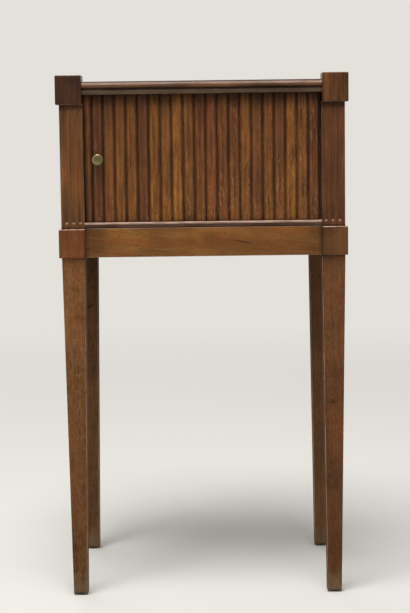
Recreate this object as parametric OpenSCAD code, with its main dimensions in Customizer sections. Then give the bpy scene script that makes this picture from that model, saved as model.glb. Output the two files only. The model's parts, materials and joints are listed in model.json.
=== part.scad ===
// Bedside table with a tambour door that slides sideways into the case.
// Four square fluted posts taper into legs and stand proud at a cap and an apron block.
// Between them lie a floor board, a track board and a top board. The slats run in grooves
// in the floor and track boards, round the right-hand front corner and along the right side.
// Origin: floor level, centre of the table. The front faces -Y, +X is to its right, +Z is up.

/* [Table] */
// Width over the caps of the posts
table_w = 402.2; // [360:0.1:460]
// Depth over the caps of the posts
table_d = 302.2; // [270:0.1:350]
// Height from the floor to the underside of the apron blocks
leg_h = 480.5; // [400:0.5:560]
// Clear height between the floor board and the track board
opening_h = 175.4; // [140:0.1:220]

/* [Posts and legs] */
// Width of the square post, and of the leg at its top
post_w = 32.5; // [30:0.5:38]
// How far the cap stands proud of the post on its outer faces
cap_proud = 4.6; // [2:0.1:6]
// How far the cap lies behind the post on its inner faces
cap_in = 1.1; // [0:0.1:2]
// Height of the square cap at the head of the post
cap_h = 40; // [30:0.5:46]
// How far the cap rises above the top board
cap_rise = 8.8; // [3:0.1:12]
// How far the block stands proud of the post on its outer faces
block_proud = 3.5; // [2:0.1:6]
// Height of the square block that takes the aprons
block_h = 40; // [34:0.5:52]
// Width of the square leg at its foot
foot_w = 20; // [17:0.5:26]
// Chamfer on the edges of the cap and the block
cap_ease = 0.9; // [0.3:0.1:1.5]

/* [Flutes] */
// Flutes on each fluted face of a post
flute_count = 3; // [1:1:3]
// Spacing of the flutes
flute_pitch = 9.4; // [8:0.1:10]
// Width of a flute
flute_w = 6.5; // [4:0.1:7]
// Depth of a flute
flute_depth = 1.4; // [0.8:0.1:2]
// How far the flutes' middle lies inward of the post's middle
flute_in = 1; // [0:0.1:2]
// Plain wood left between a flute and the block
flute_foot = 7; // [2:0.5:10]
// Plain wood left between a flute and the cap
flute_head = 4; // [2:0.5:10]

/* [Glides] */
// Diameter of the domed metal glide under each foot
glide_d = 16.5; // [12:0.5:17]
// Height of the glide under the wood
glide_h = 2.5; // [2:0.1:4]
// Radius of the glide's dome
glide_dome_r = 12; // [10:0.5:16]
// Diameter of the nail on the glide
glide_nail_d = 2.4; // [2:0.1:4]
// Length of the nail on the glide
glide_nail_l = 14; // [10:1:20]

/* [Aprons] */
// Height of the aprons
apron_h = 40.2; // [36:0.1:44]
// Thickness of the aprons
apron_t = 20; // [16:0.5:24]
// How far the aprons lie behind the face of the blocks
apron_set = 0.8; // [0.3:0.1:3]
// How far the aprons' lower edge lies above the blocks' lower edge
apron_lift = 0.6; // [0:0.1:3]
// Rounding on the aprons' front edges
apron_ease = 1; // [0.5:0.1:2]
// Length of the tenons on the aprons
tenon_l = 18; // [12:0.5:19]
// Thickness of the tenons
tenon_t = 8; // [6:0.5:9]
// Shoulder above and below each tenon
tenon_shoulder = 5; // [3:0.5:8]
// How far the side aprons' tenons lie behind those aprons' outer faces
side_tenon_in = 5; // [3:0.5:6]
// Length of the glue blocks behind the aprons
glue_block_l = 70; // [50:1:120]
// Width and height of the glue blocks
glue_block_w = 15; // [13:0.5:20]

/* [Boards] */
// Thickness of the floor board and of the track board
board_t = 8; // [7.5:0.1:12]
// Thickness of the top board, and the diameter of its rounded edge
top_t = 10; // [8:0.1:12]
// How far the rounded edge of the top board lies behind the cap's face
top_set = 2.1; // [0:0.1:3]
// How far the floor board's and the track board's plain edges lie behind the post's face
edge_set = 1; // [0.5:0.1:3]
// Diameter of the bead along the floor board's upper edge
bead_d = 4; // [3:0.1:5]
// Height of the band along the track board's lower edge
band_h = 5.1; // [4:0.1:6]
// How far the band stands out
band_out = 2; // [1:0.1:3]
// Chamfer on the band's edges
band_ease = 0.6; // [0.2:0.1:1]

/* [Panels] */
// Thickness of the two outer side panels
side_t = 5; // [4:0.5:6]
// How far the side panels lie behind the post's outer face
side_set = 2; // [1.5:0.1:2.5]
// Thickness of the back panel
back_t = 6; // [4:0.5:7]
// How far the back panel lies behind the post's rear face
back_set = 4; // [3:0.1:5]
// How deep the panels sit in the posts' grooves
panel_in = 4; // [3:0.5:6]
// Thickness of the inner panels that screen the slats
inner_t = 4; // [3:0.5:5]
// Depth of the housings for the inner panels in the boards
housing_h = 2; // [1:0.1:3]
// Space between the canvas and the front edge of the inner side panel
lining_gap = 2; // [1:0.1:4]

/* [Tambour] */
// Number of slats
slat_count = 21; // [16:1:28]
// Thickness of the slats at the crown
slat_t = 8; // [6:0.1:9]
// Gap between two slats
slat_gap = 0.3; // [0.2:0.1:0.8]
// Radius of the rounded edges of a slat's face
slat_edge_r = 3; // [1:0.1:3.5]
// Radius of the slightly crowned face of a slat
slat_crown_r = 22; // [16:1:40]
// How far the slats lie behind the post's front face
slat_set = 7.5; // [6:0.1:9]
// Thickness of the tongue on each end of a slat
tongue_t = 5; // [4:0.1:6]
// Length of the tongue
tongue_l = 3.5; // [2.5:0.1:4]
// How far the first slat enters the groove in the left-hand post
lead_in = 4.1; // [2:0.1:6]
// Gap between the last slat and the right-hand post when the door is closed
tail_gap = 1.9; // [1:0.1:5]
// Thickness of the canvas glued to the slats
canvas_t = 0.8; // [0.5:0.1:1.2]
// Wood of the slats left bare above and below the canvas
canvas_margin = 6; // [3:1:15]
// Radius of the bends, at the middle of the track
bend_r = 19.6; // [18:0.1:20]
// Distance from the rear bend's centre to the inner face of the rear posts
rear_bend_in = 6.6; // [4:0.1:10]
// Length of track behind the rear bend
track_tail = 22; // [14:1:60]

/* [Knob] */
// Diameter of the knob
knob_d = 16; // [12:0.5:20]
// Height of the knob's centre above the floor board
knob_z = 86.2; // [60:0.1:110]
// How far the knob stands out from the slat
knob_out = 10.6; // [8:0.1:10.9]
// Diameter of the knob's stem
knob_stem_d = 9; // [6:0.1:10]
// How far the foot of the knob spreads beyond the stem
knob_foot_out = 0.6; // [0.3:0.1:1.5]
// Height of that foot
knob_foot_h = 1.2; // [0.8:0.1:2]
// Thickness of the knob's rim
knob_rim_t = 3.2; // [2:0.1:4]
// Radius of the shallow dish in the knob's face
knob_dish_r = 12; // [9:0.5:30]
// Depth of that dish
knob_dish = 1.3; // [0.5:0.1:2]
// Diameter of the screw through the slat
knob_screw_d = 3; // [2.5:0.1:3.5]
// Diameter of that screw's head
knob_head_d = 6; // [5:0.1:8]
// Height of that screw's head
knob_head_h = 1.8; // [1.2:0.1:2]
// How far the screw enters the knob
knob_grip = 6; // [4:0.5:6.5]

/* [Screws] */
// Diameter of the wood screws
screw_d = 3.5; // [3:0.1:4]
// Diameter of their countersunk heads
screw_head_d = 7; // [6:0.1:8]
// Diameter of their blunt points
screw_tip_d = 1.2; // [0.8:0.1:2]
// How far the screws enter the board that they hold
screw_bite = 5; // [4:0.5:6]
// Spacing of the two screws in each glue block
glue_screw_gap = 40; // [30:1:45]
// Spacing across the table of the screws that hold the top
top_screw_x = 120; // [60:1:130]
// Distance from the middle to the front and rear rows of those screws
top_screw_y = 90; // [50:1:95]

/* [Clearances] */
// Play of a tenon, a panel or a board in its seat, on each side
fit = 0.1; // [0.05:0.05:0.3]
// Play of the slats and their tongues in the grooves, on each side
run = 0.3; // [0.2:0.05:0.4]
// Play of a screw in its hole, on each side
screw_fit = 0.1; // [0.05:0.05:0.3]
// Space between the slats and the case where they turn
bend_clear = 1; // [0.5:0.1:1.5]

/* [Hidden] */
$fn = 64;
over = 1; // how far a cut runs past the solid

// plan: outer faces of the caps, outer and inner faces of the posts, middle of the legs
half_w = table_w / 2;
half_d = table_d / 2;
face_x = half_w - cap_proud;
face_y = half_d - cap_proud;
inner_x = face_x - post_w;
inner_y = face_y - post_w;
leg_x = inner_x + post_w / 2;
leg_y = inner_y + post_w / 2;

// inner faces and width of the caps; outer faces and width of the blocks
head_x = inner_x + cap_in;
head_y = inner_y + cap_in;
cap_w = half_w - head_x;
block_x = face_x + block_proud;
block_y = face_y + block_proud;
block_w = block_x - inner_x;

// outer faces of the aprons
apron_out_x = block_x - apron_set;
apron_out_y = block_y - apron_set;

// heights
block_top = leg_h + block_h;
apron_z = leg_h + apron_lift;
board_z = apron_z + apron_h;
floor_z = board_z + board_t;
track_z = floor_z + opening_h;
top_z = track_z + board_t;
top_face = top_z + top_t;
table_h = top_face + cap_rise;
cap_z = table_h - cap_h;

// flutes
flute_r = (pow(flute_w / 2, 2) + pow(flute_depth, 2)) / (2 * flute_depth);

// tambour: closed, the curtain reaches from the left-hand groove to the right-hand post
curtain_end = inner_x - tail_gap;
curtain_start = -inner_x - lead_in;
slat_pitch = (curtain_end - curtain_start) / slat_count;
slat_w = slat_pitch - slat_gap;
slat_front = -face_y + slat_set;
slat_mid = slat_front + slat_t / 2;
slat_back = slat_front + slat_t;
groove_w = tongue_t + 2 * run;
groove_h = tongue_l + run;
lead_count = 2; // slats that carry the knob

// the track: front run, front bend, side run, rear bend and a short back run
bend_x = curtain_end + run;
front_bend_y = slat_mid + bend_r;
rear_bend_y = inner_y - rear_bend_in;
side_run_x = bend_x + bend_r;
back_run_y = rear_bend_y + bend_r;

// the right-hand posts are cut away on their inner side for the slats
relief_x = side_run_x + slat_t / 2 + bend_clear;
relief_front_y = slat_front - bend_clear / 2;
relief_rear_y = back_run_y + slat_t / 2 + bend_clear / 2;

// inner panels
lining_x = inner_x - inner_t;
lining_front_y = slat_back + canvas_t + lining_gap;
inner_back_y = back_run_y - slat_t / 2 - canvas_t - bend_clear - inner_t;

// outer panels, at their outer faces
side_face_x = face_x - side_set;
back_face_y = face_y - back_set;

// knob on the second slat
knob_slat = 2;
knob_x = curtain_start + (knob_slat - 0.5) * slat_pitch;
knob_height = floor_z + knob_z;

function slat_name(i) = str("slat_", i < 10 ? "0" : "", i);

// ---- shapes used more than once ----

// a box given by its lower and upper corners
module box(low, high) {
    translate(low) cube(high - low);
}

module chamfered_square(w, h, c) {
    polygon([[c, 0], [w - c, 0], [w, c], [w, h - c], [w - c, h], [c, h], [0, h - c], [0, c]]);
}

// a box from the origin with all its edges chamfered
module eased_box(size, c) {
    intersection() {
        linear_extrude(size.z) chamfered_square(size.x, size.y, c);
        translate([0, size.y, 0]) rotate([90, 0, 0])
            linear_extrude(size.y) chamfered_square(size.x, size.z, c);
        rotate([90, 0, 90]) linear_extrude(size.x) chamfered_square(size.y, size.z, c);
    }
}

// a rod along X or Y, centred on a point
module rod_x(centre, d, l) {
    translate(centre) rotate([0, 90, 0]) cylinder(d = d, h = l, center = true);
}

module rod_y(centre, d, l) {
    translate(centre) rotate([90, 0, 0]) cylinder(d = d, h = l, center = true);
}

// a countersunk wood screw, its head's face at z = 0 and its point upwards
module wood_screw(l, play = 0) {
    head_h = (screw_head_d - screw_d) / 2;
    cylinder(d1 = screw_head_d + 2 * play, d2 = screw_d + 2 * play, h = head_h);
    cylinder(d = screw_d + 2 * play, h = l - screw_d + play);
    translate([0, 0, l - screw_d + play])
        cylinder(d1 = screw_d + 2 * play, d2 = screw_tip_d, h = screw_d);
}

// ---- posts and legs ----

// the tapered leg about its own middle, reaching a little way into the block
module taper() {
    w = post_w / 2;
    f = foot_w / 2;
    head = leg_h + cap_ease;
    outline = [[-f, glide_h], [f, glide_h], [w, leg_h], [w, head], [-w, head], [-w, leg_h]];
    intersection() {
        rotate([90, 0, 0]) linear_extrude(post_w, center = true) polygon(outline);
        rotate([90, 0, 90]) linear_extrude(post_w, center = true) polygon(outline);
    }
}

// one flute lying on the plane y = 0 and cut into +Y, with round ends
module flute() {
    low = block_top + flute_foot + flute_w / 2;
    high = cap_z - flute_head - flute_w / 2;
    translate([0, flute_depth - flute_r, 0]) {
        translate([0, 0, low]) cylinder(r = flute_r, h = high - low);
        translate([0, 0, low]) sphere(r = flute_r);
        translate([0, 0, high]) sphere(r = flute_r);
    }
}

module flutes() {
    for (i = [0:flute_count - 1])
        translate([(i - (flute_count - 1) / 2) * flute_pitch, 0, 0]) flute();
}

// mortises for the apron along X and the apron along Y
module mortises() {
    low = apron_z + tenon_shoulder - fit;
    high = apron_z + apron_h - tenon_shoulder + fit;
    front = apron_out_y - apron_t / 2;
    side = apron_out_x - side_tenon_in;
    box([inner_x - over, front - tenon_t / 2 - fit, low],
        [inner_x + tenon_l + fit, front + tenon_t / 2 + fit, high]);
    box([side - tenon_t - fit, inner_y - over, low],
        [side + fit, inner_y + tenon_l + fit, high]);
}

// a plain post for the right-hand rear corner; other corners are its mirror images
module post() {
    difference() {
        union() {
            translate([leg_x, leg_y, 0]) taper();
            translate([inner_x, inner_y, leg_h])
                eased_box([block_w, block_w, block_h], cap_ease);
            box([inner_x, inner_y, block_top - cap_ease], [face_x, face_y, cap_z + cap_ease]);
            translate([head_x, head_y, cap_z]) eased_box([cap_w, cap_w, cap_h], cap_ease);
        }
        mortises();
        // hole for the nail of the glide
        translate([leg_x, leg_y, 0])
            cylinder(d = glide_nail_d + 2 * screw_fit, h = glide_h + glide_nail_l + screw_fit);
        // groove for the side panel
        box([side_face_x - side_t - fit, inner_y - over, floor_z],
            [side_face_x + fit, inner_y + panel_in + fit, track_z]);
        // flutes on the outer side
        translate([face_x, leg_y - flute_in, 0]) rotate([0, 0, 90]) flutes();
    }
}

// what only the rear posts have: the groove for the back panel
module back_groove() {
    box([inner_x - over, back_face_y - back_t - fit, floor_z],
        [inner_x + panel_in + fit, back_face_y + fit, track_z]);
}

// what only the front posts have, placed at the right-hand rear corner
module front_flutes() {
    translate([leg_x - flute_in, face_y, 0]) rotate([0, 0, 180]) flutes();
}

module leg_front_left() {
    color("#4a2a1c") difference() {
        rotate([0, 0, 180]) difference() {
            post();
            front_flutes();
        }
        // groove that the first slat closes into
        box([curtain_start - run, slat_front - run, floor_z - groove_h],
            [-inner_x + over, slat_back + canvas_t + run, track_z + groove_h]);
    }
}

module leg_front_right() {
    color("#5a3220") difference() {
        mirror([0, 1, 0]) difference() {
            post();
            front_flutes();
        }
        // room for the slats and for the boards' corners
        box([inner_x - over, relief_front_y, board_z],
            [relief_x, -inner_y + over, top_z]);
    }
}

module leg_rear_left() {
    color("#4a2a1c") mirror([1, 0, 0]) difference() {
        post();
        back_groove();
    }
}

module leg_rear_right() {
    color("#4a2a1c") difference() {
        post();
        back_groove();
        box([inner_x - over, inner_y - over, board_z],
            [relief_x, relief_rear_y, top_z]);
    }
}

// ---- glides ----

// a domed glide with a nail, at the right-hand rear foot
module glide() {
    dome_z = glide_h + sqrt(pow(glide_dome_r, 2) - pow(glide_d / 2, 2));
    translate([leg_x, leg_y, 0]) {
        intersection() {
            translate([0, 0, dome_z]) sphere(r = glide_dome_r);
            cylinder(d = glide_d, h = glide_h);
        }
        cylinder(d = glide_nail_d, h = glide_h + glide_nail_l);
    }
}

module glide_front_left() { color("#3b3a38") rotate([0, 0, 180]) glide(); }
module glide_front_right() { color("#3b3a38") mirror([0, 1, 0]) glide(); }
module glide_rear_left() { color("#3b3a38") mirror([1, 0, 0]) glide(); }
module glide_rear_right() { color("#3b3a38") glide(); }

// ---- aprons ----

// an apron along X whose outer face lies at y = -out; the tenons' middle lies tenon_in behind it
module apron(span, out, tenon_in) {
    low = apron_z + tenon_shoulder;
    difference() {
        box([-span, -out, apron_z], [span, -out + apron_t, board_z]);
        // the outer arrises are eased
        for (z = [apron_z, board_z])
            translate([0, -out, z]) rotate([45, 0, 0])
                cube([2 * span + over, apron_ease, apron_ease], center = true);
    }
    box([-span - tenon_l, -out + tenon_in - tenon_t / 2, low],
        [span + tenon_l, -out + tenon_in + tenon_t / 2, board_z - tenon_shoulder]);
}

module apron_x() { apron(inner_x, apron_out_y, apron_t / 2); }
module apron_y() {
    rotate([0, 0, 90]) apron(inner_y, apron_out_x, side_tenon_in + tenon_t / 2);
}

module apron_front() { color("#7a4a28") apron_x(); }
module apron_rear() { color("#6a3f24") mirror([0, 1, 0]) apron_x(); }
module apron_right() { color("#6a3f24") apron_y(); }
module apron_left() { color("#6a3f24") mirror([1, 0, 0]) apron_y(); }

// a glue block behind an apron along X
module glue_block(out) {
    back = -out + apron_t;
    difference() {
        box([-glue_block_l / 2, back, board_z - glue_block_w],
            [glue_block_l / 2, back + glue_block_w, board_z]);
        glue_screws(out, screw_fit);
    }
}

// its two screws, up into the floor board
module glue_screws(out, play = 0) {
    for (s = [-1, 1])
        translate([s * glue_screw_gap / 2, -out + apron_t + glue_block_w / 2,
                   board_z - glue_block_w])
            wood_screw(glue_block_w + screw_bite, play);
}

// screws of all four glue blocks
module all_glue_screws(play = 0) {
    for (s = [0, 180]) rotate([0, 0, s]) {
        glue_screws(apron_out_y, play);
        rotate([0, 0, 90]) glue_screws(apron_out_x, play);
    }
}

module glue_block_front() { color("#8a6a48") glue_block(apron_out_y); }
module glue_block_rear() { color("#8a6a48") rotate([0, 0, 180]) glue_block(apron_out_y); }
module glue_block_right() { color("#8a6a48") rotate([0, 0, 90]) glue_block(apron_out_x); }
module glue_block_left() { color("#8a6a48") rotate([0, 0, -90]) glue_block(apron_out_x); }
module glue_block_screws() { color("#8c8a84") all_glue_screws(); }

// ---- boards ----

// the outline of the floor and track boards, fitted round corners whose inner faces lie at
// x = corner_x and y = corner_y
module board_outline(corner_x, corner_y) {
    edge_x = face_x - edge_set;
    edge_y = face_y - edge_set;
    translate([-corner_x + fit, -edge_y])
        square([2 * (corner_x - fit), edge_y + face_y]);
    translate([-edge_x, -corner_y + fit])
        square([2 * edge_x, 2 * (corner_y - fit)]);
    // the right-hand corners reach into the posts to carry the bends
    translate([0, relief_front_y + fit])
        square([relief_x - fit, relief_rear_y - relief_front_y - 2 * fit]);
}

// a quarter of a ring, from the angle turn onwards
module quarter_ring(r, w, turn) {
    rotate(turn) intersection() {
        difference() {
            circle(r = r + w / 2);
            circle(r = r - w / 2);
        }
        square(r + w);
    }
}

// the track's plan
module track_plan() {
    translate([-inner_x - over, slat_mid - groove_w / 2])
        square([bend_x + inner_x + over, groove_w]);
    translate([bend_x, front_bend_y]) quarter_ring(bend_r, groove_w, -90);
    translate([side_run_x - groove_w / 2, front_bend_y])
        square([groove_w, rear_bend_y - front_bend_y]);
    translate([bend_x, rear_bend_y]) quarter_ring(bend_r, groove_w, 0);
    translate([bend_x - track_tail, back_run_y - groove_w / 2])
        square([track_tail, groove_w]);
}

// housings for the two inner panels
module housing_plan() {
    translate([lining_x - fit, lining_front_y - fit])
        square([inner_t + 2 * fit, inner_back_y + inner_t - lining_front_y + 2 * fit]);
    translate([-inner_x - over, inner_back_y - fit])
        square([lining_x + inner_x + over, inner_t + 2 * fit]);
}

module floor_board() {
    bead_y = face_y - edge_set;
    bead_x = face_x - edge_set;
    bead_z = floor_z - bead_d / 2;
    color("#5f3a22") difference() {
        union() {
            translate([0, 0, board_z]) linear_extrude(board_t) board_outline(inner_x, inner_y);
            rod_x([0, -bead_y, bead_z], bead_d, 2 * (inner_x - fit));
            for (s = [-1, 1]) rod_y([s * bead_x, 0, bead_z], bead_d, 2 * (inner_y - fit));
        }
        translate([0, 0, floor_z - groove_h]) linear_extrude(groove_h + over) track_plan();
        translate([0, 0, floor_z - housing_h]) linear_extrude(housing_h + over) housing_plan();
        all_glue_screws(screw_fit);
    }
}

// the band along one edge, from -l/2 to l/2 along X and standing out to -Y
module band(l) {
    rotate([90, 0, 90]) linear_extrude(l, center = true)
        polygon([[over, 0], [-band_out + band_ease, 0], [-band_out, band_ease],
                 [-band_out, band_h - band_ease], [-band_out + band_ease, band_h],
                 [over, band_h]]);
}

module track_board() {
    color("#5f3a22") difference() {
        translate([0, 0, track_z]) union() {
            linear_extrude(board_t) board_outline(head_x, head_y);
            translate([0, -face_y + edge_set, 0]) band(2 * (head_x - fit));
            for (s = [-1, 1])
                rotate([0, 0, s * 90]) translate([0, -face_x + edge_set, 0])
                    band(2 * (head_y - fit));
        }
        translate([0, 0, track_z - over]) linear_extrude(groove_h + over) track_plan();
        translate([0, 0, track_z - over]) linear_extrude(housing_h + over) housing_plan();
        top_fixings(screw_fit);
    }
}

module top_board() {
    nose_x = half_w - top_set - top_t / 2;
    nose_y = half_d - top_set - top_t / 2;
    nose_z = top_z + top_t / 2;
    long = 2 * (head_x - fit);
    short = 2 * (head_y - fit);
    color("#6b4026") difference() {
        union() {
            translate([0, 0, nose_z]) cube([long, 2 * nose_y, top_t], center = true);
            translate([0, 0, nose_z]) cube([2 * nose_x, short, top_t], center = true);
            for (s = [-1, 1]) {
                rod_x([0, s * nose_y, nose_z], top_t, long);
                rod_y([s * nose_x, 0, nose_z], top_t, short);
            }
        }
        top_fixings(screw_fit);
    }
}

// six screws up through the track board into the top board
module top_fixings(play = 0) {
    for (x = [-1:1], y = [-1, 1])
        translate([x * top_screw_x, y * top_screw_y, track_z])
            wood_screw(board_t + screw_bite, play);
}

module top_screws() { color("#8c8a84") top_fixings(); }

// ---- panels ----

module side_panel_right() {
    reach = inner_y + panel_in;
    color("#5f3a22")
        box([side_face_x - side_t, -reach, floor_z], [side_face_x, reach, track_z]);
}

module side_panel_left() {
    mirror([1, 0, 0]) side_panel_right();
}

module back_panel() {
    reach = inner_x + panel_in;
    color("#5b3c26")
        box([-reach, back_face_y - back_t, floor_z], [reach, back_face_y, track_z]);
}

module inner_side() {
    color("#7b5a3c")
        box([lining_x, lining_front_y, floor_z - housing_h],
            [lining_x + inner_t, inner_back_y + inner_t, track_z + housing_h]);
}

module inner_back() {
    color("#7b5a3c")
        box([-inner_x + fit, inner_back_y, floor_z - housing_h],
            [lining_x - fit, inner_back_y + inner_t, track_z + housing_h]);
}

// ---- tambour ----

// section of a slat, its back on y = 0 and its crowned face towards -Y
module slat_section() {
    straight = slat_w / 2 - slat_edge_r;
    intersection() {
        union() {
            translate([-slat_w / 2, slat_edge_r - slat_t]) square([slat_w, slat_t - slat_edge_r]);
            translate([-straight, -slat_t]) square([2 * straight, slat_t]);
            for (s = [-1, 1])
                translate([s * straight, slat_edge_r - slat_t]) circle(r = slat_edge_r);
        }
        translate([0, slat_crown_r - slat_t]) circle(r = slat_crown_r, $fn = 256);
    }
}

// slat i, counted from the left
module slat(i) {
    low = floor_z + run;
    high = track_z - run;
    tongue_w = slat_w - 2 * slat_gap;
    translate([curtain_start + (i - 0.5) * slat_pitch, slat_back, 0]) {
        translate([0, 0, low]) linear_extrude(high - low) slat_section();
        translate([-tongue_w / 2, -(slat_t + tongue_t) / 2, floor_z - tongue_l])
            cube([tongue_w, tongue_t, track_z - floor_z + 2 * tongue_l]);
    }
}

// wood tones in turn along the door
slat_tones = ["#6b4630", "#5d3d2a", "#714425", "#4e3424", "#6a4a2c"];

module slat_piece(i) {
    color(slat_tones[i % len(slat_tones)]) difference() {
        slat(i);
        if (i == knob_slat) knob_hole();
    }
}

// clearance hole for the knob's screw
module knob_hole() {
    rod_y([knob_x, slat_mid, knob_height], knob_screw_d + 2 * screw_fit,
          2 * (slat_t + canvas_t));
}

// canvas behind the slats from number first to number last
module canvas_strip(first, last) {
    low = floor_z + canvas_margin;
    high = track_z - canvas_margin;
    box([curtain_start + (first - 1) * slat_pitch + slat_gap / 2, slat_back, low],
        [curtain_start + last * slat_pitch - slat_gap / 2, slat_back + canvas_t, high]);
}

module canvas_lead() {
    color("#b9a98a") difference() {
        canvas_strip(1, lead_count);
        knob_hole();
    }
}

module canvas() {
    color("#b9a98a") canvas_strip(lead_count + 1, slat_count);
}

// ---- knob ----

// turned profile about its own axis, from the slat outwards
module knob_profile() {
    stem_r = knob_stem_d / 2;
    edge_r = knob_rim_t / 2;
    rim_r = knob_d / 2 - edge_r;
    rim_low = knob_out - knob_rim_t;
    cove_r = rim_r - stem_r;
    square([stem_r, knob_out - edge_r]);
    square([stem_r + knob_foot_out, knob_foot_h]);
    // the cove that spreads the stem to the rim
    difference() {
        translate([0, rim_low - cove_r]) square([rim_r, cove_r]);
        translate([rim_r, rim_low - cove_r]) circle(r = cove_r);
    }
    translate([0, rim_low]) square([rim_r, knob_rim_t]);
    translate([rim_r, knob_out - edge_r]) circle(r = edge_r);
}

module knob() {
    dish_z = knob_out - knob_dish + knob_dish_r;
    color("#8a7a45")
        translate([knob_x, slat_front, knob_height]) rotate([90, 0, 0]) difference() {
            rotate_extrude() knob_profile();
            translate([0, 0, dish_z]) sphere(r = knob_dish_r);
            translate([0, 0, -over])
                cylinder(d = knob_screw_d + 2 * screw_fit, h = knob_grip + screw_fit + over);
        }
}

module knob_screw() {
    head_y = slat_back + canvas_t;
    color("#8c8a84") translate([knob_x, head_y, knob_height]) {
        rotate([90, 0, 0]) cylinder(d = knob_screw_d, h = canvas_t + slat_t + knob_grip);
        rotate([-90, 0, 0]) cylinder(d = knob_head_d, h = knob_head_h);
    }
}

// ---- what is drawn ----

leg_front_left();
leg_front_right();
leg_rear_left();
leg_rear_right();
glide_front_left();
glide_front_right();
glide_rear_left();
glide_rear_right();
apron_front();
apron_rear();
apron_left();
apron_right();
glue_block_front();
glue_block_rear();
glue_block_left();
glue_block_right();
glue_block_screws();
floor_board();
track_board();
top_board();
top_screws();
side_panel_left();
side_panel_right();
back_panel();
inner_side();
inner_back();
knob();
knob_screw();
canvas_lead();
canvas();
for (i = [1:slat_count])
    slat_piece(i);
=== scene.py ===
import functools
import json
import math
import random

import bmesh
import bpy
from bpy.props import FloatProperty, FloatVectorProperty, IntProperty, PointerProperty
from mathutils import Matrix, Vector


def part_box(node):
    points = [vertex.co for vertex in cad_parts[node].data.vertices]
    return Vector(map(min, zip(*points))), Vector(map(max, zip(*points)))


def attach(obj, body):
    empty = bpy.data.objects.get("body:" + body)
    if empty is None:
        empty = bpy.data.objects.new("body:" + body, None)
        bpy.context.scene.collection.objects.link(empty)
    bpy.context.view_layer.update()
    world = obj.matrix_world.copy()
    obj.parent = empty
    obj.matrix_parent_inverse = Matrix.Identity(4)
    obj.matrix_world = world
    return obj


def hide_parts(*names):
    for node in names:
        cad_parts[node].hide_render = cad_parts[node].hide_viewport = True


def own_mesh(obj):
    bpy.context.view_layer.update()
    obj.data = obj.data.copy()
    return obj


bl_info = {
    "name": "Bedside Table with Tambour Door",
    "version": (1, 0, 0),
    "blender": (4, 5, 0),
    "location": "View3D > Sidebar > Bedside Table",
    "description": "Builds the looks of a bedside table with a sliding tambour door",
    "category": "Object",
}

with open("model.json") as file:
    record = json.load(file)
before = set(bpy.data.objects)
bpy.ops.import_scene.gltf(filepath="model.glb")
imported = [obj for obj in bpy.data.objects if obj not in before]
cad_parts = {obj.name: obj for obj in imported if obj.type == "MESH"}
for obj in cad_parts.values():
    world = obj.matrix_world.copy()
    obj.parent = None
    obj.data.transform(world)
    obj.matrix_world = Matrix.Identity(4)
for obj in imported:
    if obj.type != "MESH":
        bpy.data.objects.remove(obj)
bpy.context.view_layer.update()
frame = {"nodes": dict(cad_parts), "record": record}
MM = 0.001
SAME_PLACE = 1e-6  # points closer than this are one point
SHARP = math.radians(60)  # faces that meet more sharply than this have an arris

CORNERS = {  # which way each corner post faces
    "front_left": (-1, -1),
    "front_right": (1, -1),
    "rear_left": (-1, 1),
    "rear_right": (1, 1),
}
LEAD = "tambour_lead"  # the body of the first two slats, which slide as one
RECORD = frame["record"]
BODY_OF = {node: body for body, nodes in RECORD["behaviour"]["bodies"].items() for node in nodes}
SLATS = sorted(n for n in frame["nodes"] if n.startswith("slat_"))


def hex_colour(text):
    """sRGB hex to the linear colour that Blender's sockets take."""
    parts = [int(text[i:i + 2], 16) / 255 for i in (1, 3, 5)]
    return tuple(c / 12.92 if c <= 0.04045 else ((c + 0.055) / 1.055) ** 2.4 for c in parts)


# tones of the old mahogany: the wood's own colour, and that of the streaks in it
WOODS = {
    "near_black": ("#3d2316", "#442713"),
    "dark": ("#55341b", "#794b28"),
    "umber": ("#663f22", "#54301a"),
    "chestnut": ("#643e21", "#66411f"),
    "smoked": ("#634e3a", "#523f2e"),
    "weathered": ("#6a5040", "#7a5c46"),
    "rosy": ("#6d4c37", "#78553d"),
    "brown": ("#6b4325", "#7c512a"),
    "ruddy": ("#6f4427", "#784322"),
    "golden_brown": ("#6c4829", "#734624"),
    "dry_brown": ("#69462b", "#714529"),
    "dry_umber": ("#6c4b32", "#61442d"),
    "dry_dark": ("#604028", "#533a24"),
    "russet": ("#6e4425", "#5c361d"),
    "ember": ("#633d1d", "#714622"),
    "red": ("#704120", "#7c4823"),
    "pink": ("#7c4e2d", "#6c4124"),
    "dry_tawny": ("#80552e", "#6f4628"),
    "honey": ("#7a4b27", "#80522b"),
    "orange": ("#8e602f", "#794a22"),
    "gold": ("#794b22", "#875727"),
    "bright": ("#825226", "#905e2b"),
}


# ---- what a user would change ----

def length_setting(name, millimetres, description):
    return FloatProperty(
        name=name, description=description, default=millimetres * MM, unit="LENGTH")


def colour_setting(name, text, description):
    return FloatVectorProperty(
        name=name, description=description, default=hex_colour(text), subtype="COLOR", size=3)


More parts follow.
